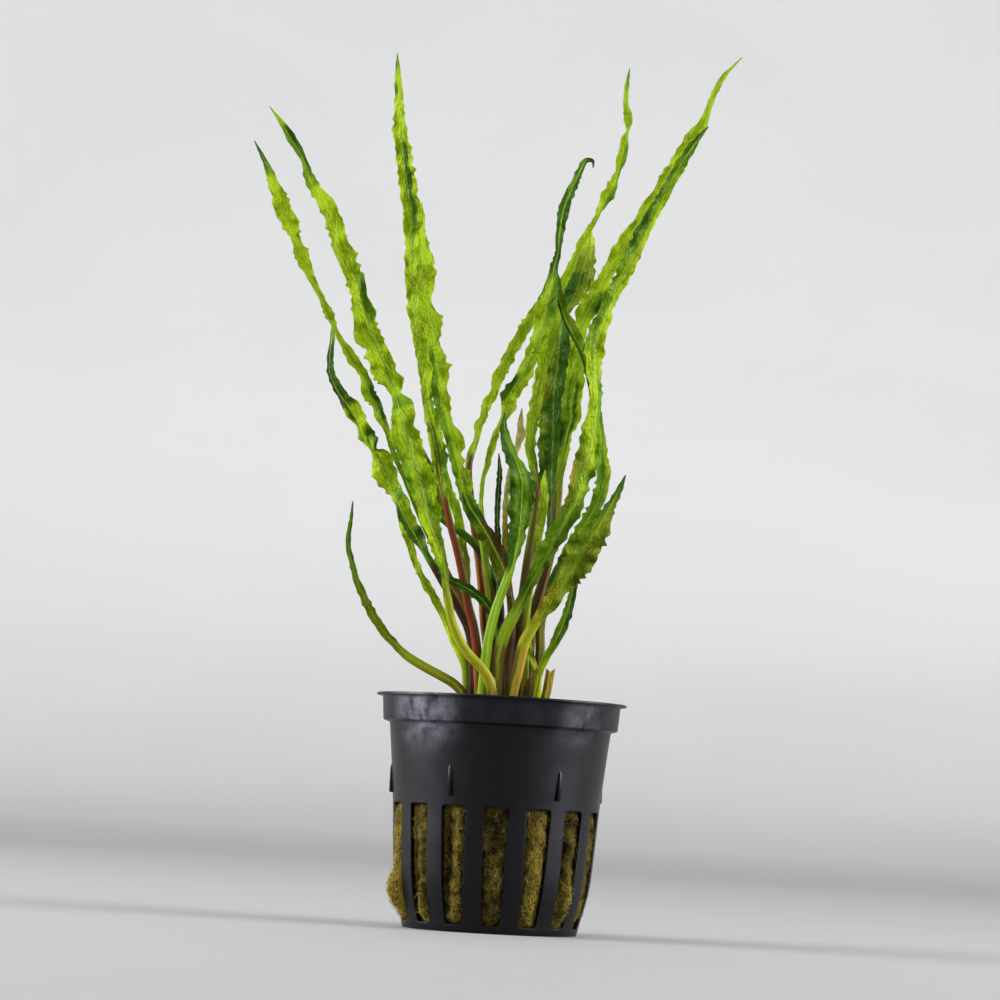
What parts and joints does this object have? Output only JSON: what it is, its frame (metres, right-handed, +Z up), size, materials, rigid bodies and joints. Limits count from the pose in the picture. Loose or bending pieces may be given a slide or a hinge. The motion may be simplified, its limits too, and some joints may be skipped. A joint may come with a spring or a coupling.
{
  "type": "potted crypt water plant",
  "caption": "Water plant with long narrow crisped leaves on thin stalks, rooted in mineral wool in a round slotted black net pot with a flared rim.",
  "frame": {"origin": "centre of the pot's underside, on the surface it stands on", "axes": "+Z up along the pot's axis, +X to the right and -Y towards the viewer of the picture"},
  "size_m": [0.1124, 0.0614, 0.2046],
  "materials": {
    "pot_plastic": "satin black moulded plastic",
    "mineral_wool": "matte fibrous mineral wool, mustard olive",
    "crown_brown": "matte brown rhizome",
    "leaf_bright": "bright yellow-green leaf, veined, soft sheen",
    "leaf_deep": "deep green leaf, veined, soft sheen",
    "leaf_olive": "olive-yellow leaf with brown, soft sheen",
    "leaf_old": "pale yellow-tan old leaf, dull",
    "dead_brown": "withered dark brown, matte"
  },
  "bodies": {
    "root": {"net_pot": "pot_plastic", "rockwool_plug": "mineral_wool", "crown": "crown_brown", "leaf_far_left": "leaf_bright", "leaf_dark_twist": "leaf_deep", "leaf_left_long": "leaf_bright", "leaf_left_tall": "leaf_bright", "leaf_left_inner": "leaf_bright", "leaf_left_short": "leaf_deep", "leaf_arching": "leaf_olive", "leaf_left_low": "leaf_bright", "leaf_left_back": "leaf_bright", "leaf_strap": "leaf_deep", "leaf_hooked": "leaf_deep", "leaf_centre_jagged": "leaf_bright", "leaf_front": "leaf_deep", "leaf_old_pale": "leaf_old", "leaf_edge_on": "leaf_deep", "leaf_upright": "leaf_bright", "leaf_centre_broad": "leaf_olive", "leaf_centre_small": "leaf_bright", "leaf_right_tall": "leaf_bright", "leaf_right_long": "leaf_deep", "leaf_right_back": "leaf_deep", "leaf_right_broad": "leaf_olive", "leaf_right_low": "leaf_deep", "leaf_young": "leaf_bright", "cut_petiole": "leaf_old", "young_shoot": "leaf_bright", "dead_sheath": "dead_brown", "pale_sheath": "leaf_old"}
  },
  "joints": []
}
